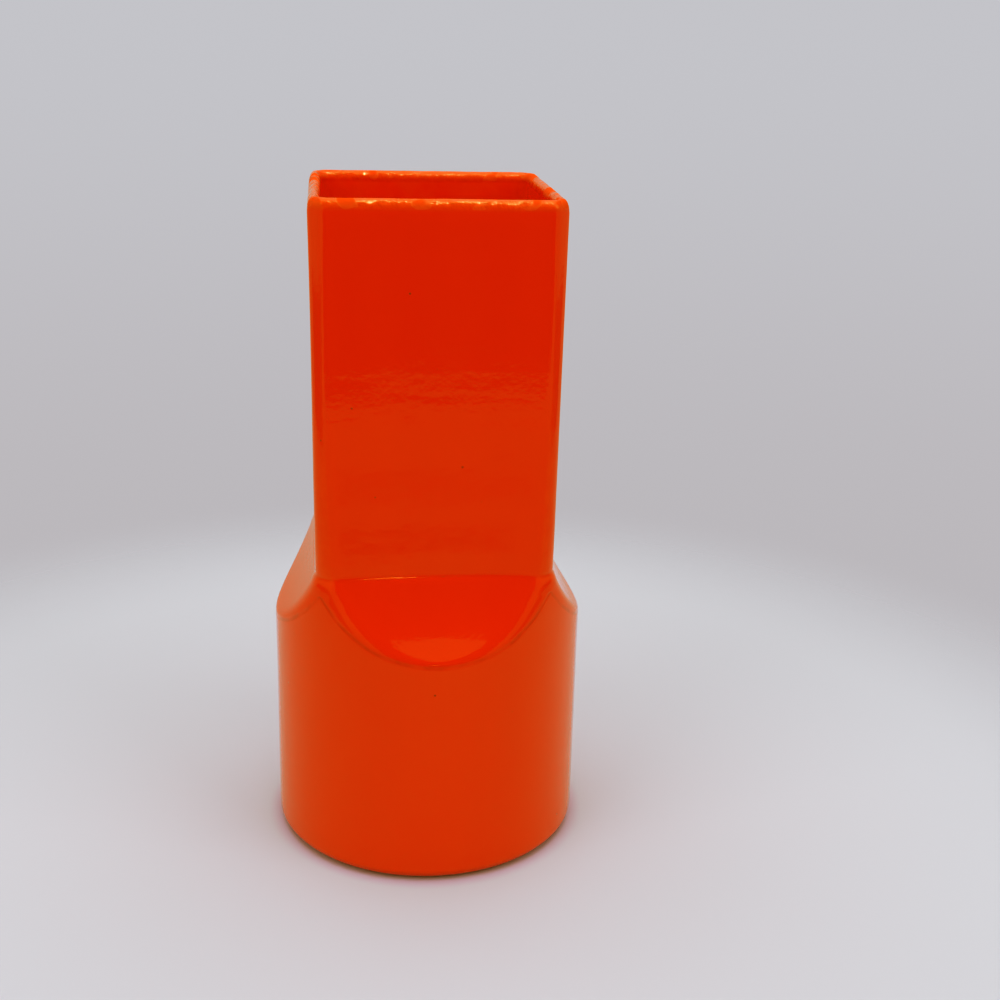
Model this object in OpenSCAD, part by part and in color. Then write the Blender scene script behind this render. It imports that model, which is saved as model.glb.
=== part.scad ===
// Glazed ceramic vase: a round base whose upper part is cut away on four sides
// into a hollow, upright square neck. The fired clay and its glaze coat are two nodes.
// The origin is at the centre of the foot, on the surface that the vase stands on.

/* [Vase] */
// Overall height
vase_h = 254; // [230:1:280]
// Diameter of the round base
base_d = 120; // [116:1:126]
// Width of the square neck across its flat sides
neck_w = 88.6; // [86:0.2:90]

/* [Shoulder] */
// Height at which each ramp runs out into the round base
ramp_z = 90; // [80:1:100]
// Slope of each ramp, in degrees above level
ramp_angle = 54.5; // [50:0.5:60]
// Radius of the hollow curve between a neck side and its ramp
cove_r = 18; // [10:1:24]

/* [Walls] */
// Wall thickness, glaze included
wall = 4.5; // [3.6:0.1:5.4]
// Thickness of the glaze coat
glaze_t = 0.5; // [0.3:0.1:0.8]
// Height of the inside floor above the table
floor_z = 7.5; // [6.5:0.5:10]
// Radius between the inside floor and the wall
floor_r = 9; // [6:1:14]

/* [Foot] */
// Height of the foot ring below the glazed edge
foot_h = 1.2; // [0.8:0.1:2]
// Radius of the rounded edge at the bottom of the wall
edge_r = 2.6; // [1.6:0.2:3.4]
// Distance from the outside of the wall to the foot ring
foot_inset = 4.6; // [4:0.2:6]
// Width of the foot ring
foot_w = 6; // [4:0.5:9]
// Depth of the recess inside the foot ring
recess = 2.2; // [1.6:0.1:3]

/* [Hidden] */
$fn = 96;
base_r = base_d / 2;
neck_a = neck_w / 2;
lip_r = wall / 2;
lip_z = vase_h - lip_r;
foot_r = base_r - foot_inset;
ramp_run = base_r - neck_a;
crease_z = ramp_z + ramp_run * tan(ramp_angle);
cove_turn = 90 - ramp_angle;
cove_z = crease_z + cove_r * tan(cove_turn / 2);
spare = 20;

// Every surface of the vase is drawn by the same modules, moved inwards by k:
// 0 is the outside of the glaze, wall is the inside of it, and lip_r is mid-wall.
function ramp_x(k, z) = neck_a - k / sin(ramp_angle) + (crease_z - z) / tan(ramp_angle);
function cove_foot_x(k) = neck_a + cove_r - (cove_r + k) * cos(cove_turn);
function cove_foot_z(k) = cove_z - (cove_r + k) * sin(cove_turn);

// Half of the end view of the upper part, from the centre line out to the side at +X:
// the ramp, the hollow curve above it and the neck's upright side.
module half_side(k, top) {
    low = ramp_z - spare;
    difference() {
        polygon([
            [-spare, low], [ramp_x(k, low), low],
            [cove_foot_x(k), cove_foot_z(k)], [neck_a + cove_r, cove_foot_z(k)],
            [neck_a + cove_r, cove_z], [neck_a - k, cove_z],
            [neck_a - k, top], [-spare, top]
        ]);
        translate([neck_a + cove_r, cove_z])
            circle(r = cove_r + k);
    }
}

// What is cut off a flat outline to round its top corner at [edge, top] to radius r.
module corner_waste(edge, r, top) {
    translate([edge - r, top - r])
        difference() {
            square(r + 1);
            circle(r = r);
        }
}

// Flare at the mouth of the hollow inside, from its wall at x = edge over the lip.
module mouth_flare(edge, r) {
    translate([edge, lip_z])
        difference() {
            translate([-1, 0])
                square([r + 1, r]);
            translate([r, 0])
                circle(r = r);
        }
}

// The same half end view with its lip: the outside is rounded, the inside flares.
module half_side_lip(k) {
    if (k < lip_r) {
        difference() {
            half_side(k, vase_h - k);
            corner_waste(neck_a - k, lip_r - k, vase_h - k);
        }
    } else {
        half_side(k, lip_z + k - lip_r);
        mouth_flare(neck_a - k, k - lip_r);
    }
}

// The upper part between two opposite sides, as a bar that runs along Y.
module side_bar(k) {
    rotate([90, 0, 0])
        linear_extrude(base_d + 2 * spare, center = true) {
            half_side_lip(k);
            mirror([1, 0])
                half_side_lip(k);
        }
}

// Upright outline on the +X side, from z = bottom to z = top, with a rounded bottom.
module round_wall(x, bottom, top, r) {
    difference() {
        translate([0, bottom])
            square([x, top - bottom]);
        translate([0, bottom])
            mirror([0, 1])
                corner_waste(x, r, 0);
    }
}

// Outline of the full round form that the neck is cut from.
module round_outline(k) {
    x = base_r - k;
    if (k < lip_r) {
        difference() {
            round_wall(x, foot_h + k, vase_h - k, edge_r - k);
            corner_waste(x, lip_r - k, vase_h - k);
        }
    } else {
        round_wall(x, floor_z + k - wall, lip_z + k - lip_r, floor_r + wall - k);
        mouth_flare(x, k - lip_r);
    }
}

// Everything inside the vase's surface when that surface is moved inwards by k.
module form(k) {
    intersection() {
        rotate_extrude()
            round_outline(k);
        union() {
            intersection() {
                side_bar(k);
                rotate([0, 0, 90])
                    side_bar(k);
            }
            cylinder(h = ramp_z - spare / 2, r = base_r);
        }
    }
}

// The foot, solid: it stands below the glazed edge and is left bare.
module foot() {
    cylinder(h = foot_h + edge_r, r = foot_r);
}

// The fired clay between the two glazed surfaces, with a ring to stand on.
module clay_body() {
    color("tan")
        difference() {
            union() {
                form(glaze_t);
                foot();
            }
            form(wall - glaze_t);
            translate([0, 0, -1])
                cylinder(h = recess + 1, r = foot_r - foot_w);
        }
}

// The glaze: down the outside, over the lip and all over the inside.
module glaze_coat() {
    color("orangered")
        difference() {
            form(0);
            form(wall);
            difference() {
                form(glaze_t);
                form(wall - glaze_t);
            }
            foot();
        }
}

clay_body();
glaze_coat();
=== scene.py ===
"""Visual model of a glazed ceramic vase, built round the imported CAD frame.

The vase is a round base whose upper part is cut away on four sides into a hollow square
neck. Both meshes are drawn in rings, from one rule for the surface's distance from the
axis, so every edge is rounded as glazed clay is. Lengths are in metres unless a comment
says otherwise.
"""
import math

import bpy
import numpy as np
from mathutils import Matrix, Vector


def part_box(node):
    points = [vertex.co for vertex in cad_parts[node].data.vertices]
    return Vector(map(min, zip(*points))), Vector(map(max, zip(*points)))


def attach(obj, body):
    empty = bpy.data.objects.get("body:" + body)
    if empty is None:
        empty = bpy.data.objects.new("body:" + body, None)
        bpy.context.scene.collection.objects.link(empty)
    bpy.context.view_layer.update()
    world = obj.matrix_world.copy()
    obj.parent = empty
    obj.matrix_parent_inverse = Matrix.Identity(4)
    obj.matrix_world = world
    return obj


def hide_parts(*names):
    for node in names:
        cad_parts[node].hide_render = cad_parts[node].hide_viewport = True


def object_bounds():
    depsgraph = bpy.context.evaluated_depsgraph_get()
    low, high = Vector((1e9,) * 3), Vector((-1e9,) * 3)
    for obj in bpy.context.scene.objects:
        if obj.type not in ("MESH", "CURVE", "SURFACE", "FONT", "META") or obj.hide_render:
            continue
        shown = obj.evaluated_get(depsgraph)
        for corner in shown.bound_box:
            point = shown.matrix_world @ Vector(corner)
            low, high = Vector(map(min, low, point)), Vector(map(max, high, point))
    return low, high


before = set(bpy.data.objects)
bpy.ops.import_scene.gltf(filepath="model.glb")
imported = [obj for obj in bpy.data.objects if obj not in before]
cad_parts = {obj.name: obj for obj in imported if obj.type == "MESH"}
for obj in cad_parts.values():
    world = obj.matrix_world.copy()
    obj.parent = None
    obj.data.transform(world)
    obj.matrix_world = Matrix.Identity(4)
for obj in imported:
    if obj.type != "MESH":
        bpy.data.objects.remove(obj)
CAD_LO, CAD_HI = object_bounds()
MM = 0.001

# Sizes taken from the frame
BASE_R = (CAD_HI.x - CAD_LO.x) / 2
HEIGHT = CAD_HI.z
GLAZE_T = BASE_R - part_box("clay_body")[1].x

# The fired glaze ends a little nearer the table than the CAD's
GLAZE_LOWER = 0.7 * MM
GLAZE_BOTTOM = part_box("glaze_coat")[0].z - GLAZE_LOWER

# Driving sizes, the same as the CAD model's
NECK_A = 44.3 * MM
RAMP_Z = 90 * MM
WALL = 4.5 * MM
FLOOR_Z = 7.5 * MM
FLOOR_R = 9 * MM
FOOT_R = BASE_R - 4.6 * MM
FOOT_W = 6 * MM
RECESS = 2.2 * MM

# How the fired vase differs from the plain CAD form. First its rounding: how much rounder
# the inside corners are than the outside edges, the radius of the bottom edge, and the
# heights over which the lip is rounded on its two sides
INSIDE_EXTRA = 2.4 * MM
EDGE_R = 4.4 * MM
LIP_OUTSIDE = 5.5 * MM
LIP_INSIDE = 3.2 * MM

# How far the neck's sides sag inwards, how much higher a ramp's middle stands than its
# sides, the share of that by which the sides are lower, and how far the neck flares out at
# the lip and over what height
NECK_SAG = 0.5 * MM
RAMP_CROWN = 0.5 * MM
CROWN_SIDES = 0.7
FLARE = 0.55 * MM
FLARE_H = 70 * MM

# How proud the rounded edges stand, the unevenness of the surface, how many times that the
# whole surface is moved in to stay inside the CAD's box, and the unevenness of the lip
BEAD = 0.14 * MM
WAVE = 0.05 * MM
WAVE_ROOM = 1.6
LIP_WAVE = 0.12 * MM

# How much painted light the inside glaze gets, drawn as a lighter colour: 1 is as light as along the
# rounded edges
INSIDE_LIGHT = 1.0

# Each ramp is a hollow arc, steepest under the crease: how far it leans back from upright
# there and where it runs out into the base, and the radius that the crease is rounded to
CREASE_LEAN = math.radians(20)
FOOT_LEAN = math.radians(40)
CREASE_R = 4 * MM

LIP_R = WALL / 2
RAMP_RUN = BASE_R - NECK_A - CREASE_R * (1 - math.cos(CREASE_LEAN))
RAMP_R = RAMP_RUN / (math.cos(CREASE_LEAN) - math.cos(FOOT_LEAN))
RAMP_AT = (BASE_R + RAMP_R * math.cos(FOOT_LEAN), RAMP_Z + RAMP_R * math.sin(FOOT_LEAN))
CREASE_Z = RAMP_AT[1] - (RAMP_R - CREASE_R) * math.sin(CREASE_LEAN)

# The heights that the shoulder lies between, and how many points a ring of the glaze has
SHOULDER = (RAMP_Z - 10 * MM, CREASE_Z + 5 * MM)
COLUMNS = 360

# Radius of the outside edges at some heights: softest just under the crease, and sharper
# towards the foot of the ramps and the lip
ROUND_Z = np.array([RAMP_Z - 2 * MM, RAMP_Z + 6 * MM, CREASE_Z - 8 * MM, CREASE_Z, 132 * MM,
                    155 * MM, 195 * MM, 234 * MM])
ROUND_R = np.array([4.5, 8.6, 12.5, 9.6, 8.8, 7.6, 6.4, 5.2]) * MM

# A fine seam runs where the rounded edges of the ramps run out into the base, and the glaze along it is
# darkened with painted shade: how far inside the ramps' faces it lies at some heights
SEAM_Z = np.array([89, 95, 98.5, 103, 106, 110.5, 113]) * MM
SEAM_IN = np.array([0.8, 1.8, 2.05, 2.7, 3.0, 3.8, 8]) * MM

# The distance from the seam, in millimetres, past which it no longer matters
SEAM_FAR = 9

# Faces closer to parallel than this have no edge between them
PARALLEL = 1e-7

# Colours of the glaze, the clay and the paper
GLAZE_DEEP = (0.88, 0.0135, 0.0004)
GLAZE_BODY = (0.91, 0.0168, 0.0006)
# Thin glaze on the edges, and painted light on the lip and the inside
GLAZE_THIN_AND_LIT = (0.93, 0.045, 0.0015)
# Painted shade along the seam and towards the foot
GLAZE_PAINTED_SHADE = (0.5, 0.006, 0.0003)
# Painted shade in the pinholes
GLAZE_PIT_SHADE = (0.32, 0.006, 0.0005)
CLAY_DARK = (0.56, 0.37, 0.22)
CLAY_LIGHT = (0.66, 0.48, 0.32)
CLAY_GRAIN = (0.75, 0.6, 0.43)
CLAY_SPECK = (0.16, 0.07, 0.035)
PAPER = (0.63, 0.655, 0.68)
# Painted contact shadow and red bounce light on the paper round the foot
PAPER_PAINTED_SHADOW = (0.63, 0.42, 0.57)


# ---------------------------------------------------------------- the vase's surface
def side_gap(u, v, z):
    """How far a point lies outside a neck side seen end on, and the way out there.

    u is the distance across the side from the axis, and v is the distance along it.
    """
    to_crease = (NECK_A + CREASE_R - u, CREASE_Z - z)
    to_ramp = (RAMP_AT[0] - u, RAMP_AT[1] - z)
    turn = np.arctan2(to_crease[1], to_crease[0])
    lean = np.where(turn > CREASE_LEAN, np.arctan2(to_ramp[1], to_ramp[0]), np.maximum(turn, 0))
    crease_gap = CREASE_R - np.hypot(to_crease[0], to_crease[1])
    gap = np.where(turn > 0, crease_gap, u - NECK_A)
    gap = np.where(turn > CREASE_LEAN, RAMP_R - np.hypot(to_ramp[0], to_ramp[1]), gap)
    middle = np.clip(1 - (v / NECK_A) ** 2, 0, 1)
    below_lip = np.clip((HEIGHT - z) / (HEIGHT - CREASE_Z), 0, 1)
    share = np.clip(lean / CREASE_LEAN, 0, 1)
    sag = NECK_SAG * below_lip * middle * (1 - share) + RAMP_CROWN * (CROWN_SIDES - middle) * share
    sag = sag - FLARE * np.clip((z - HEIGHT + FLARE_H) / FLARE_H, 0, 1) ** 2
    return gap + sag, np.cos(lean), np.sin(lean)


def dot(a, b):
    return a[0] * b[0] + a[1] * b[1] + a[2] * b[2]


def edge_distance(gaps, ways, i, j):
    """Distance to the edge where faces i and j meet, or 0 where a face is nearer."""
    c = dot(ways[i], ways[j])
    det = np.maximum(1 - c * c, PARALLEL)
    a = (gaps[i] - c * gaps[j]) / det
    b = (gaps[j] - c * gaps[i]) / det
    square = gaps[i] * a + gaps[j] * b
    apart = (a > 0) & (b > 0) & (c * c < 1 - PARALLEL)
    return np.where(apart, np.sqrt(np.maximum(square, 0)), 0)


def corner_distance(gaps, ways):
    """Distance to the corner where all three faces meet, or 0 where it isn't nearest."""
    a = dot(ways[0], ways[1])
    b = dot(ways[0], ways[2])
    c = dot(ways[1], ways[2])
    det = 1 + 2 * a * b * c - a * a - b * b - c * c
    safe = np.maximum(det, PARALLEL)
    p = ((1 - c * c) * gaps[0] + (b * c - a) * gaps[1] + (a * c - b) * gaps[2]) / safe
    q = ((b * c - a) * gaps[0] + (1 - b * b) * gaps[1] + (a * b - c) * gaps[2]) / safe
    r = ((a * c - b) * gaps[0] + (a * b - c) * gaps[1] + (1 - a * a) * gaps[2]) / safe
    square = gaps[0] * p + gaps[1] * q + gaps[2] * r
    inside = (p > 0) & (q > 0) & (r > 0) & (det > PARALLEL)
    return np.where(inside, np.sqrt(np.maximum(square, 0)), 0)


def core_distance(x, y, z, r):
    """Distance from the core that is left when every face is moved inwards by r.

    Where this distance is r the surface runs, with all its convex edges rounded to r.
    The faces are two pairs of neck sides and the round base. The second result is how
    much nearer an edge is than a plain face would be.
    """
    x, y = np.abs(x), np.abs(y)
    rho = np.hypot(x, y) + 1e-9
    flat = np.zeros_like(x)
    gap_x, out_x, up_x = side_gap(x, y, z)
    gap_y, out_y, up_y = side_gap(y, x, z)
    gaps = [gap_x + r, gap_y + r, rho - BASE_R + r]
    ways = [(out_x, flat, up_x), (flat, out_y, up_y), (x / rho, y / rho, flat)]
    face = np.maximum(np.maximum(gaps[0], gaps[1]), gaps[2])
    near = np.maximum(face, corner_distance(gaps, ways))
    for i, j in ((0, 1), (0, 2), (1, 2)):
        near = np.maximum(near, edge_distance(gaps, ways, i, j))
    return near, near - face


def surface_radius(angles, z, inset):
    """Distance from the axis, along each angle at height z, of the surface moved in.

    The second result is 1 along the rounded edges and 0 on the plain faces.
    """
    r = np.interp(z, ROUND_Z, ROUND_R) + INSIDE_EXTRA * min(max(inset / WALL, 0), 1)
    c, s = np.cos(angles), np.sin(angles)
    heights = np.full_like(angles, z)
    # The surface lies between these two distances from the axis
    low = np.full_like(angles, BASE_R * 0.3)
    high = np.full_like(angles, BASE_R * 1.1)
    halvings = 30
    for _ in range(halvings):
        middle = (low + high) / 2
        inside = core_distance(middle * c, middle * s, heights, r)[0] < r - inset
        low = np.where(inside, middle, low)
        high = np.where(inside, high, middle)
    radius = (low + high) / 2
    rounding = core_distance(radius * c, radius * s, heights, r)[1]
    full_edge = 0.08 * r
    return radius, np.clip(rounding / full_edge, 0, 1)


def make_waves():
    """Directions, lengths and phases of the gentle waves that the whole surface has."""
    rng = np.random.default_rng(11)
    count = 14
    ways = rng.normal(size=(count, 3))
    ways /= np.linalg.norm(ways, axis=1)[:, None]
    lengths = rng.uniform(28, 75, count) * MM
    return ways * (2 * math.pi / lengths)[:, None], rng.uniform(0, 2 * math.pi, count)


def make_lip_waves():
    """How many waves go round the lip, and their phases."""
    rng = np.random.default_rng(5)
    counts = np.array([3, 5, 8, 11, 17, 23, 31])
    return counts, rng.uniform(0, 2 * math.pi, len(counts))


WAVES = make_waves()
LIP_WAVES = make_lip_waves()


def wave(points):
    """Unevenness at each point, mostly between -1 and 1."""
    turns, phases = WAVES
    return np.sin(points @ turns.T + phases).sum(1) / math.sqrt(2 * len(phases))


def lip_dip(angles):
    """How far the lip lies below its highest point, round the vase."""
    counts, phases = LIP_WAVES
    waves = np.sin(angles[:, None] * counts + phases) / np.sqrt(counts / counts[0])
    # The waves never add up to quite this much, so the lip stays under its full height
    crest = 3.2
    return LIP_WAVE * (1 + waves.sum(1) / crest)


def column_angles(count):
    """Angles round the axis, closer together at the neck's four corners."""
    fine = np.linspace(0, 2 * math.pi, 20001)
    off_corner = (fine - math.pi / 4) % (math.pi / 2)
    off_corner = np.minimum(off_corner, math.pi / 2 - off_corner)
    crowding = 2.5
    spread = math.radians(7)
    density = 1 + crowding * np.exp(-((off_corner / spread) ** 2))
    share = np.concatenate([[0], np.cumsum((density[1:] + density[:-1]) / 2)])
    return np.interp(np.arange(count) / count * share[-1], share, fine)


def ring(angles, z, inset, z_shown=None):
    """One ring of the surface moved in by inset at height z, drawn at z_shown if given.

    For each point it has x, y, z, a value that is 1 along the rounded edges and 0 on the
    plain faces, and the distance from the seam in millimetres.
    """
    flat = np.zeros_like(angles)
    shown = flat + (z if z_shown is None else z_shown)
    if z < SHOULDER[0]:
        radius, edge = flat + (BASE_R - inset), flat
    else:
        radius, edge = surface_radius(angles, z, inset)
    c, s = np.cos(angles), np.sin(angles)
    seam = seam_distance(radius * c, radius * s, z) if inset < LIP_R else flat + SEAM_FAR
    uneven = wave(np.stack([radius * c, radius * s, shown], 1))
    radius = radius - WAVE * (WAVE_ROOM + uneven) + BEAD * edge * edge * (3 - 2 * edge)
    return np.stack([radius * c, radius * s, shown, edge, seam], 1)


def seam_distance(x, y, z):
    """How far, in millimetres, points on the outside lie from the seam round the ramps."""
    gap_x = side_gap(np.abs(x), y, z)[0]
    gap_y = side_gap(np.abs(y), x, z)[0]
    off_seam = np.maximum(gap_x, gap_y) + np.interp(z, SEAM_Z, SEAM_IN)
    return np.clip(off_seam / MM, -SEAM_FAR, SEAM_FAR)


def heights_up(bottom, top, fine, coarse):
    """Heights from bottom to top, at fine steps over the shoulder and coarse elsewhere."""
    marks = [bottom, max(SHOULDER[0], bottom), min(SHOULDER[1], top), top]
    out = [bottom]
    for a, b, step in zip(marks[:-1], marks[1:], (coarse, fine, coarse)):
        count = max(int(round((b - a) / step)), 1)
        out += [a + (b - a) * k / count for k in range(1, count + 1)]
    return out


def wall_rings(angles, inset, bottom, top, fine, coarse):
    """Rings up a wall, from bottom to top, of the surface moved in by inset."""
    return [ring(angles, z, inset) for z in heights_up(bottom, top, fine, coarse)]


def lip_rings(angles, depth, steps):
    """Rings over the lip, from the outside to the inside, at a depth below its face."""
    out = []
    dip = lip_dip(angles)
    for k in range(1, 2 * steps):
        turn = math.pi / 2 * k / steps
        tall = LIP_OUTSIDE if k < steps else LIP_INSIDE
        across = LIP_R - (LIP_R - depth) * math.cos(turn)
        up = math.sin(turn)
        level = HEIGHT - tall + (tall - depth) * up
        lip = ring(angles, HEIGHT - tall, across, level - dip * up * up)
        lip[:, 3] = np.maximum(lip[:, 3], up)
        out.append(lip)
    return out


def edge_rings(angles, depth, steps):
    """Rings round the bottom edge, from its underside up to the wall."""
    r = EDGE_R - depth
    centre = GLAZE_BOTTOM + EDGE_R
    out = []
    for k in range(steps):
        turn = math.pi / 2 * k / steps
        shift = EDGE_R - r * math.sin(turn)
        out.append(ring(angles, centre, shift, centre - r * math.cos(turn)))
    return out


def floor_rings(angles, depth, steps):
    """Rings from the inside wall down round its bottom corner and in over the floor."""
    bottom = FLOOR_Z - depth
    r = FLOOR_R + depth
    inset = WALL - depth
    out = []
    for k in range(steps + 1):
        turn = math.pi / 2 * k / steps
        shift = inset + r * (1 - math.cos(turn))
        out.append(ring(angles, bottom + r, shift, bottom + r * (1 - math.sin(turn))))
    rest = BASE_R - inset - r
    for share in (0.8, 0.6, 0.4, 0.2, 0.05):
        out.append(ring(angles, bottom, BASE_R - rest * share, bottom))
    return out


def skin_rings(angles, depth, fine, coarse, round_steps):
    """The whole glazed surface, at a depth below its face.

    It runs from the bottom edge up the outside, over the lip and down the inside to the
    middle of the floor.
    """
    foot_top = GLAZE_BOTTOM + EDGE_R
    floor_top = FLOOR_Z + FLOOR_R
    inset = WALL - depth
    rings = edge_rings(angles, depth, round_steps)
    rings += wall_rings(angles, depth, foot_top, HEIGHT - LIP_OUTSIDE, fine, coarse)
    rings += lip_rings(angles, depth, round_steps + 2)
    inside = wall_rings(angles, inset, floor_top, HEIGHT - LIP_INSIDE, 2.5 * fine, 1.5 * coarse)
    inside = inside[::-1] + floor_rings(angles, depth, round_steps)[1:]
    # The inside is lightened with painted light, through the same value as the rounded edges
    for row in inside:
        row[:, 3] = np.maximum(row[:, 3], INSIDE_LIGHT)
    return rings + inside


# ---------------------------------------------------------------- the pieces
def mesh_from_rings(name, rings):
    """A closed mesh of quads between rings, with a flat cap in its first and last ring."""
    count = len(rings[0])
    values = np.concatenate(rings)
    column = np.arange(count)
    after = (column + 1) % count
    faces = [tuple(column[::-1].tolist())]
    for k in range(len(rings) - 1):
        a, b = k * count, (k + 1) * count
        quads = np.stack([a + column, a + after, b + after, b + column], 1)
        faces += [tuple(quad) for quad in quads.tolist()]
    faces.append(tuple((column + len(values) - count).tolist()))
    mesh = bpy.data.meshes.new(name)
    mesh.from_pydata(values[:, :3].tolist(), [], faces)
    for label, numbers in (("edge", values[:, 3]), ("seam", values[:, 4])):
        mesh.attributes.new(label, "FLOAT", "POINT").data.foreach_set("value", numbers)
    mesh.validate()
    mesh.shade_smooth()
    obj = bpy.data.objects.new(name, mesh)
    bpy.context.scene.collection.objects.link(obj)
    return obj


def glaze_skin():
    """The whole glaze coat: along the clay beneath it, round its end and its shiny face."""
    angles = column_angles(COLUMNS)
    rings = skin_rings(angles, GLAZE_T, fine=3 * MM, coarse=14 * MM, round_steps=5)[::-1]
    bead = GLAZE_T / 2
    end_steps = 6
    for k in range(1, end_steps):
        turn = math.pi * k / end_steps
        radius = FOOT_R + bead - bead * math.sin(turn)
        rings.append(ring(angles, 0, BASE_R - radius, GLAZE_BOTTOM + bead + bead * math.cos(turn)))
    rings += skin_rings(angles, 0, fine=0.8 * MM, coarse=5 * MM, round_steps=8)
    return mesh_from_rings("glaze_skin", rings)


def clay_shell():
    """The clay under the glaze, with its bare foot ring and recess."""
    angles = column_angles(COLUMNS // 2)
    softened = 0.7 * MM
    # A hair deeper than the glaze, so that the two skins don't share a face
    under_glaze = GLAZE_T + 0.02 * MM
    inner = FOOT_R - FOOT_W
    profile = [(inner - 2.5 * MM, RECESS), (inner - 0.8 * MM, RECESS - 0.1 * MM)]
    profile += [(inner, RECESS - 0.8 * MM), (inner + 0.1 * MM, softened), (inner + softened, 0)]
    profile += [(FOOT_R - softened, 0), (FOOT_R - 0.15 * MM, 0.2 * MM), (FOOT_R, softened)]
    profile += [(FOOT_R, GLAZE_BOTTOM + GLAZE_T)]
    rings = [ring(angles, 0, BASE_R - radius, z) for radius, z in profile]
    rings += skin_rings(angles, under_glaze, fine=2 * MM, coarse=8 * MM, round_steps=6)
    return mesh_from_rings("clay_shell", rings)


# ---------------------------------------------------------------- materials
class Nodes:
    """Short ways to add shader nodes to one material."""

    def __init__(self, name):
        self.material = bpy.data.materials.new(name)
        self.material.use_nodes = True
        self.tree = self.material.node_tree
        self.tree.nodes.clear()
        self.out = self.tree.nodes.new("ShaderNodeOutputMaterial")
        self.shader = self.tree.nodes.new("ShaderNodeBsdfPrincipled")
        self.link(self.shader.outputs["BSDF"], self.out.inputs["Surface"])
        self.place = self.tree.nodes.new("ShaderNodeTexCoord").outputs["Object"]

    def link(self, source, target):
        self.tree.links.new(source, target)

    def noise(self, size, detail=2, stretch=1.0):
        """Noise from 0 to 1 whose lumps are about size across, and stretch times as tall."""
        node = self.tree.nodes.new("ShaderNodeTexNoise")
        node.inputs["Scale"].default_value = 1 / size
        node.inputs["Detail"].default_value = detail
        squash = self.tree.nodes.new("ShaderNodeVectorMath")
        squash.operation = "MULTIPLY"
        squash.inputs[1].default_value = (1, 1, 1 / stretch)
        self.link(self.place, squash.inputs[0])
        self.link(squash.outputs["Vector"], node.inputs["Vector"])
        return node.outputs["Fac"]

    def cells(self, size):
        """Distance from random points, in cells of one size, and each cell's own colour."""
        node = self.tree.nodes.new("ShaderNodeTexVoronoi")
        node.inputs["Scale"].default_value = 1 / size
        self.link(self.place, node.inputs["Vector"])
        return node.outputs["Distance"], node.outputs["Color"]

    def ramp(self, value, low, high, start=0.0, end=1.0):
        """Start below low, end above high, and a smooth change between."""
        node = self.tree.nodes.new("ShaderNodeMapRange")
        node.interpolation_type = "SMOOTHSTEP"
        for name, number in (("From Min", low), ("From Max", high), ("To Min", start), ("To Max", end)):
            node.inputs[name].default_value = number
        self.link(value, node.inputs["Value"])
        return node.outputs["Result"]

    def math(self, operation, a, b):
        node = self.tree.nodes.new("ShaderNodeMath")
        node.operation = operation
        for socket, value in zip(node.inputs, (a, b)):
            if isinstance(value, (int, float)):
                socket.default_value = value
            else:
                self.link(value, socket)
        return node.outputs["Value"]

    def mix(self, factor, a, b):
        """Colour a where factor is 0 and b where it is 1."""
        node = self.tree.nodes.new("ShaderNodeMix")
        node.data_type = "RGBA"
        self.link(factor, node.inputs["Factor"])
        for socket, value in ((node.inputs[6], a), (node.inputs[7], b)):
            if isinstance(value, tuple):
                socket.default_value = (*value, 1)
            else:
                self.link(value, socket)
        return node.outputs[2]

    def attribute(self, name):
        node = self.tree.nodes.new("ShaderNodeAttribute")
        node.attribute_name = name
        return node.outputs["Fac"]

    def height(self):
        node = self.tree.nodes.new("ShaderNodeSeparateXYZ")
        self.link(self.place, node.inputs["Vector"])
        return node.outputs["Z"]

    def bump(self, value, depth, onto=None):
        """Relief of that depth where value goes from 0 to 1, over another relief."""
        node = self.tree.nodes.new("ShaderNodeBump")
        node.inputs["Distance"].default_value = depth
        self.link(value, node.inputs["Height"])
        if onto is not None:
            self.link(onto, node.inputs["Normal"])
        return node.outputs["Normal"]


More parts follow.
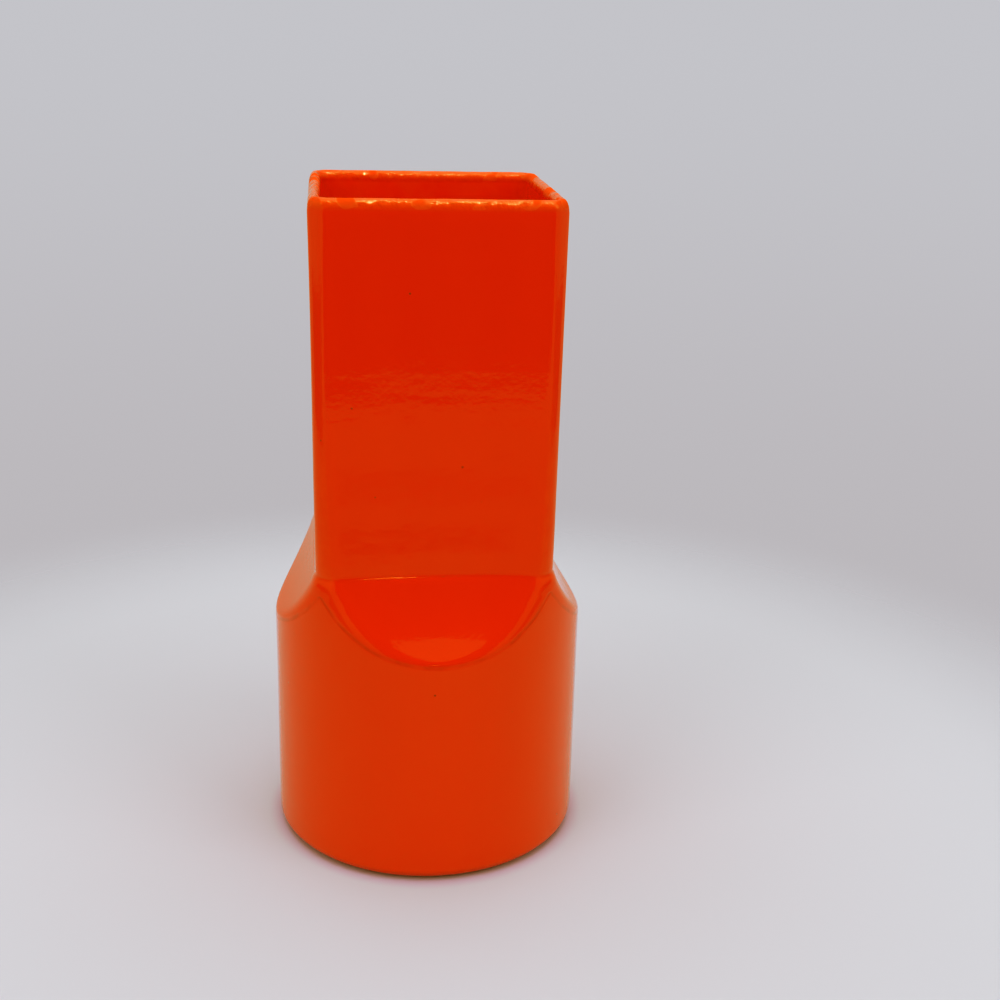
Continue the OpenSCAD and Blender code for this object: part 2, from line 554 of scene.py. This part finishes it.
def glaze_material():
    """Opaque orange glaze: glossy, with an orange-peel surface, pinholes darkened with painted shade,
    lighter thin glaze on the edges and a worn lip; the lip and the inside are lightened with painted
    light, and the seam and the foot darkened with painted shade.
    """
    nodes = Nodes("orange_glaze")
    shader = nodes.shader
    shader.inputs["IOR"].default_value = 1.5
    shader.inputs["Specular Tint"].default_value = (1, 0.8, 0.35, 1)
    colour = nodes.mix(nodes.noise(16 * MM, 3, 5), GLAZE_DEEP, GLAZE_BODY)
    # Lighter glaze where it runs thin on the rounded edges; the inside, which carries the same value, gets
    # it as painted light
    worn_and_lit = nodes.math("MULTIPLY", nodes.attribute("edge"), nodes.noise(6 * MM, 2))
    worn_and_lit = nodes.ramp(worn_and_lit, 0.15, 0.75, 0, 0.3)
    # The lip is drawn lighter: partly thin glaze at its edge, partly painted light on its upturned face
    at_lip = nodes.ramp(nodes.height(), HEIGHT - 4.5 * MM, HEIGHT - 1.6 * MM)
    worn_and_lit = nodes.math("MAXIMUM", worn_and_lit, nodes.math("MULTIPLY", at_lip, 0.95))
    colour = nodes.mix(worn_and_lit, colour, GLAZE_THIN_AND_LIT)
    off_seam = nodes.math("ABSOLUTE", nodes.attribute("seam"), 0)
    seam = nodes.ramp(off_seam, 0.1, 0.8, 1, 0)
    # Painted shade: the glaze is darkened along the seam and towards the foot
    seam_shade = nodes.math("MULTIPLY", seam, nodes.ramp(nodes.noise(9 * MM, 2), 0.35, 0.6, 0.1, 0.45))
    at_foot = nodes.ramp(nodes.height(), 0, 5 * MM, 0.9, 0)
    colour = nodes.mix(nodes.math("MAXIMUM", seam_shade, at_foot), colour, GLAZE_PAINTED_SHADE)
    # Painted shade in the pinholes
    distance, own = nodes.cells(10 * MM)
    chosen = nodes.ramp(own, 0.6, 0.62)
    pit = nodes.math("MULTIPLY", nodes.ramp(distance, 0.02, 0.055, 1, 0), chosen)
    colour = nodes.mix(pit, colour, GLAZE_PIT_SHADE)
    nodes.link(colour, shader.inputs["Base Color"])
    rough = nodes.ramp(nodes.noise(9 * MM, 4), 0.3, 0.75, 0.035, 0.075)
    patches = nodes.ramp(nodes.noise(12 * MM, 2), 0.5, 0.6)
    rough = nodes.math("MAXIMUM", rough, nodes.math("MULTIPLY", at_lip, patches))
    nodes.link(nodes.math("MAXIMUM", rough, pit), shader.inputs["Roughness"])
    lumps = nodes.math("MULTIPLY", nodes.noise(2.6 * MM, 2), at_lip)
    relief = nodes.bump(nodes.noise(30 * MM, 2, 0.3), 0.1 * MM)
    relief = nodes.bump(nodes.noise(7 * MM, 3), 0.045 * MM, relief)
    relief = nodes.bump(nodes.noise(1.6 * MM, 2), 0.03 * MM, relief)
    relief = nodes.bump(lumps, 0.6 * MM, relief)
    relief = nodes.bump(nodes.math("SUBTRACT", 1, seam), 0.06 * MM, relief)
    relief = nodes.bump(nodes.math("SUBTRACT", 1, pit), 0.08 * MM, relief)
    nodes.link(relief, shader.inputs["Normal"])
    return nodes.material


def clay_material():
    """Bare fired clay: matt, warm buff, gritty, with a few iron specks."""
    nodes = Nodes("bare_clay")
    colour = nodes.mix(nodes.noise(14 * MM, 4), CLAY_DARK, CLAY_LIGHT)
    grain = nodes.ramp(nodes.noise(0.5 * MM, 2), 0.35, 0.7, 0, 0.4)
    colour = nodes.mix(grain, colour, CLAY_GRAIN)
    distance, own = nodes.cells(2.2 * MM)
    chosen = nodes.ramp(own, 0.7, 0.72)
    speck = nodes.math("MULTIPLY", nodes.ramp(distance, 0.06, 0.14, 0.8, 0), chosen)
    colour = nodes.mix(speck, colour, CLAY_SPECK)
    nodes.link(colour, nodes.shader.inputs["Base Color"])
    rough = nodes.ramp(nodes.noise(3 * MM, 3), 0.3, 0.7, 0.78, 0.95)
    nodes.link(rough, nodes.shader.inputs["Roughness"])
    relief = nodes.bump(nodes.noise(0.45 * MM, 3), 0.05 * MM)
    relief = nodes.bump(nodes.noise(5 * MM, 2), 0.12 * MM, relief)
    nodes.link(relief, nodes.shader.inputs["Normal"])
    return nodes.material


def floor_material():
    """Pale paper, with a painted contact shadow and red bounce light close to the vase, that fades out at
    its rim.
    """
    nodes = Nodes("pale_floor")
    nodes.shader.inputs["Roughness"].default_value = 0.9
    nodes.shader.inputs["Specular IOR Level"].default_value = 0.2
    from_axis = nodes.tree.nodes.new("ShaderNodeVectorMath")
    from_axis.operation = "LENGTH"
    nodes.link(nodes.place, from_axis.inputs[0])
    # Painted contact shadow and red bounce light on the paper round the vase's foot
    away = nodes.ramp(from_axis.outputs["Value"], 58 * MM, 65.5 * MM)
    colour = nodes.mix(away, PAPER_PAINTED_SHADOW, PAPER)
    nodes.link(colour, nodes.shader.inputs["Base Color"])
    clear = nodes.tree.nodes.new("ShaderNodeBsdfTransparent")
    mix = nodes.tree.nodes.new("ShaderNodeMixShader")
    nodes.link(nodes.ramp(from_axis.outputs["Value"], 240 * MM, 400 * MM), mix.inputs["Fac"])
    nodes.link(nodes.shader.outputs["BSDF"], mix.inputs[1])
    nodes.link(clear.outputs["BSDF"], mix.inputs[2])
    nodes.link(mix.outputs["Shader"], nodes.out.inputs["Surface"])
    return nodes.material


def dark_material(tone):
    """Plain matt grey of one tone, for what only reflections see."""
    nodes = Nodes("dark_room_and_shade")
    nodes.shader.inputs["Base Color"].default_value = (tone, tone, tone, 1)
    nodes.shader.inputs["Roughness"].default_value = 1
    nodes.shader.inputs["Specular IOR Level"].default_value = 0
    return nodes.material


# ---------------------------------------------------------------- setting
def add_stage(name, points, mat):
    """One flat face of the setting, which isn't part of the object."""
    mesh = bpy.data.meshes.new(name)
    mesh.from_pydata(points, [], [tuple(range(len(points)))])
    mesh.materials.append(mat)
    obj = bpy.data.objects.new(name, mesh)
    bpy.context.scene.collection.objects.link(obj)
    return obj


def add_floor():
    """A round sheet of paper, flat on the table."""
    sides, radius = 64, 0.6
    turn = 2 * math.pi / sides
    rim = [(radius * math.cos(k * turn), radius * math.sin(k * turn), 0) for k in range(sides)]
    add_stage("floor", rim, floor_material())


def add_dark(name, left, right, top, tone):
    """One upright face of the dark room round the table, which only reflections see."""
    add_unseen(name, [(*left, 0), (*right, 0), (*right, top), (*left, top)], tone)


def add_shade_strip(name, left, right, middle, width, tone):
    """A flat dark strip on the paper, between the vase and the camera: painted shade."""
    near, far, up = middle - width / 2, middle + width / 2, 0.5 * MM
    add_unseen(name, [(left, near, up), (right, near, up), (right, far, up), (left, far, up)], tone)


def add_unseen(name, points, tone):
    """A face that only reflections see: it lights nothing and casts no shadow."""
    cloth = add_stage(name, points, dark_material(tone))
    cloth.visible_camera = False
    cloth.visible_diffuse = False
    cloth.visible_shadow = False


def add_lamp(name, place, aim, size, radiance, shape="RECTANGLE"):
    """An area light of a given brightness per area, hidden from the camera."""
    data = bpy.data.lights.new(name, "AREA")
    data.shape = shape
    data.size, data.size_y = size
    area = size[0] * size[1] * (1 if shape == "RECTANGLE" else math.pi / 4)
    data.energy = radiance * math.pi * area
    light = bpy.data.objects.new(name, data)
    light.location = place
    light.rotation_euler = (Vector(aim) - Vector(place)).to_track_quat("-Z", "Y").to_euler()
    light.visible_camera = False
    bpy.context.scene.collection.objects.link(light)
    return light


def add_world():
    """A pale tent: bright round the horizon and dim overhead, but plain to the camera."""
    world = bpy.data.worlds.new("tent")
    world.use_nodes = True
    tree = world.node_tree
    background = tree.nodes["Background"]
    way = tree.nodes.new("ShaderNodeTexCoord").outputs["Generated"]
    split = tree.nodes.new("ShaderNodeSeparateXYZ")
    tree.links.new(way, split.inputs["Vector"])
    colours = []
    # First what lights the vase, then what the camera sees: two heights and their colours
    for low, high, first, second in (
        (0.45, 0.85, (0.53, 0.475, 0.45, 1), (0.13, 0.13, 0.13, 1)),
        (-0.35, 0.0, (0.5, 0.48, 0.503, 1), (0.55, 0.55, 0.575, 1)),
    ):
        level = tree.nodes.new("ShaderNodeMapRange")
        level.interpolation_type = "SMOOTHSTEP"
        level.inputs["From Min"].default_value = low
        level.inputs["From Max"].default_value = high
        tree.links.new(split.outputs["Z"], level.inputs["Value"])
        blend = tree.nodes.new("ShaderNodeMix")
        blend.data_type = "RGBA"
        blend.inputs[6].default_value = first
        blend.inputs[7].default_value = second
        tree.links.new(level.outputs["Result"], blend.inputs["Factor"])
        colours.append(blend.outputs[2])
    choose = tree.nodes.new("ShaderNodeMix")
    choose.data_type = "RGBA"
    tree.links.new(tree.nodes.new("ShaderNodeLightPath").outputs["Is Camera Ray"], choose.inputs["Factor"])
    tree.links.new(colours[0], choose.inputs[6])
    tree.links.new(colours[1], choose.inputs[7])
    tree.links.new(choose.outputs[2], background.inputs["Color"])
    bpy.context.scene.world = world


def add_camera():
    """Stands in front and a little to the left, looking down on the vase."""
    place = (-0.03871, -0.53751, 0.31616)
    yaw, pitch, roll = 0.1234, 0.3271, 0.0258
    level = Vector((math.sin(yaw), math.cos(yaw), 0))
    right = Vector((math.cos(yaw), -math.sin(yaw), 0))
    up = Vector((0, 0, 1))
    ahead = level * math.cos(pitch) - up * math.sin(pitch)
    top = level * math.sin(pitch) + up * math.cos(pitch)
    x = right * math.cos(roll) + top * math.sin(roll)
    y = top * math.cos(roll) - right * math.sin(roll)
    data = bpy.data.cameras.new("camera")
    data.sensor_width = 36
    data.lens = 52.58
    camera = bpy.data.objects.new("camera", data)
    turn = Matrix((x, y, -ahead)).transposed().to_4x4()
    camera.matrix_world = Matrix.Translation(place) @ turn
    bpy.context.scene.collection.objects.link(camera)
    bpy.context.scene.camera = camera


def set_tones():
    """Plain tones, but deep oranges lose most of what little blue they have, as in print."""
    view = bpy.context.scene.view_settings
    view.view_transform = "Standard"
    view.use_curve_mapping = True
    blue = view.curve_mapping.curves[2]
    for before, after in ((0.04, 0.0085), (0.1, 0.038), (0.2, 0.115), (0.5, 0.5)):
        blue.points.new(before, after)
    view.curve_mapping.update()


def add_pieces():
    """The glaze and the clay, each in the place of its CAD node."""
    skin = glaze_skin()
    skin.data.materials.append(glaze_material())
    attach(skin, "root")
    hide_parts("glaze_coat")
    clay = clay_shell()
    clay.data.materials.append(clay_material())
    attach(clay, "root")
    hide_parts("clay_body")


def add_room():
    """The paper, two strips of painted shade on it and the dark room, which reflections in the vase show.
    """
    add_floor()
    add_dark("dark_front", (-0.30, -0.68), (0.42, -0.80), 1.0, 0.11)
    add_dark("dark_left", (-0.66, 0.1), (-0.45, -0.45), 0.12, 0.25)
    add_dark("dark_right", (0.45, -0.45), (0.66, 0.1), 0.12, 0.25)
    # Two flat dark strips of painted shade on the paper in front of the vase
    add_shade_strip("shade_strip_near", -0.041, 0.089, -0.497, 0.017, 0.1)
    add_shade_strip("shade_strip_far", -0.031, 0.064, -0.388, 0.014, 0.03)


def add_lamps():
    """Soft light from overhead, both sides and the front, and lamps that only make glints."""
    middle = (0, 0, 0.12)
    add_lamp("overhead", (0, 0.1, 1.6), (0, 0.1, 0), (1.8, 1.8), 2.0)
    add_lamp("left_panel", (-0.9, -0.75, 0.95), middle, (0.8, 0.8), 1.7)
    add_lamp("right_panel", (0.9, -0.75, 0.95), middle, (0.8, 0.8), 1.7)
    add_lamp("front_lamp", (0.056, -0.514, 0.688), (0, -0.055, 0.097), (0.19, 0.264), 0.5, "ELLIPSE")
    for name, x in (("spot_left", -0.07), ("spot_middle", 0.13), ("spot_right", 0.33)):
        spot = add_lamp(name, (x, -0.6, 1.28), middle, (0.11, 0.11), 70, "ELLIPSE")
        spot.visible_diffuse = False
    glint = add_lamp("crease_lamp", (0.024, -0.69, 0.206), (0, -0.05, 0.118), (0.045, 0.03), 0.016)
    glint.data.spread = math.radians(5)
    glint.visible_diffuse = False


set_tones()
add_pieces()
add_room()
add_lamps()
add_world()
add_camera()
